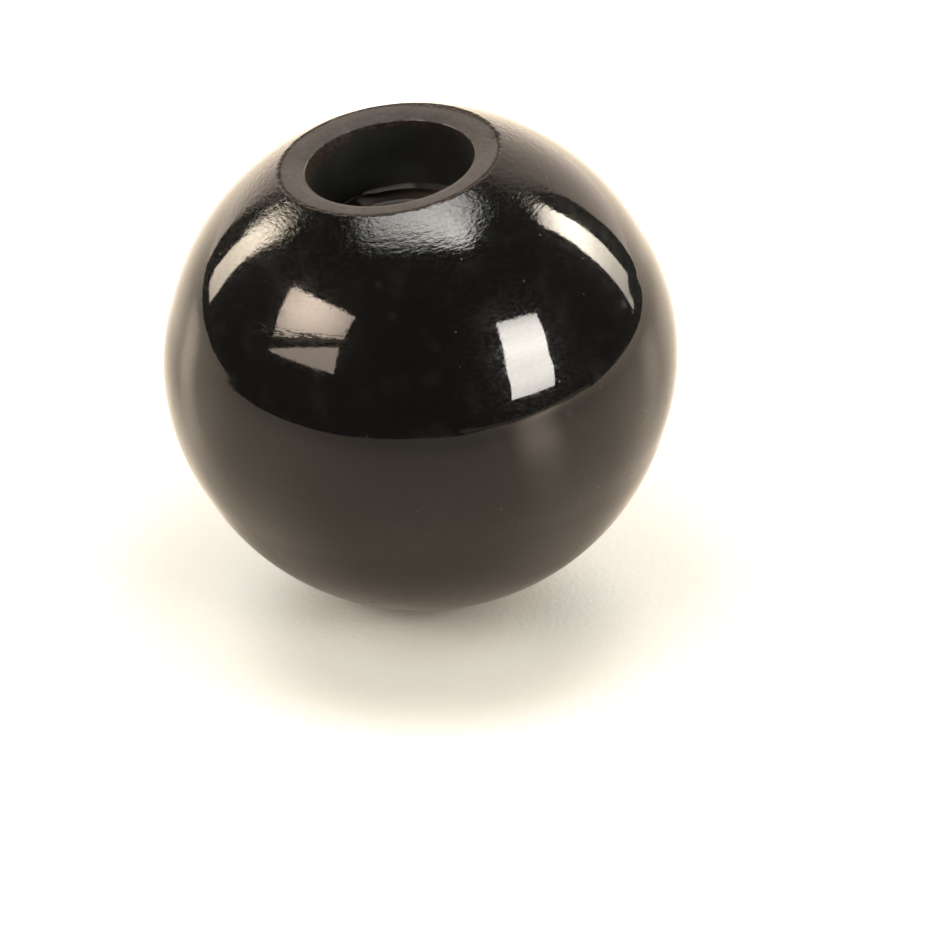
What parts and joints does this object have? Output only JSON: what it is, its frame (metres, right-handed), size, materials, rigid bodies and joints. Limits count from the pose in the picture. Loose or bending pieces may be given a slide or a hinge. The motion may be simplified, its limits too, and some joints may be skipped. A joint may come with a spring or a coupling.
{
  "type": "ball knob",
  "caption": "Black moulded ball knob with a flat mouth and a stepped hole, a smooth socket over a screw thread, that fits on the end of a lever.",
  "frame": {"origin": "centre of the flat mouth face, where the hole opens", "axes": "+Z along the hole and out of its mouth; the ball hangs below, with its parting line in a level plane"},
  "size_m": [0.0482, 0.0482, 0.0452],
  "materials": {
    "black_phenolic": "polished black phenolic moulding, with a satin cut mouth and a dull hole"
  },
  "bodies": {
    "root": {"ball_knob": "black_phenolic"}
  },
  "joints": []
}
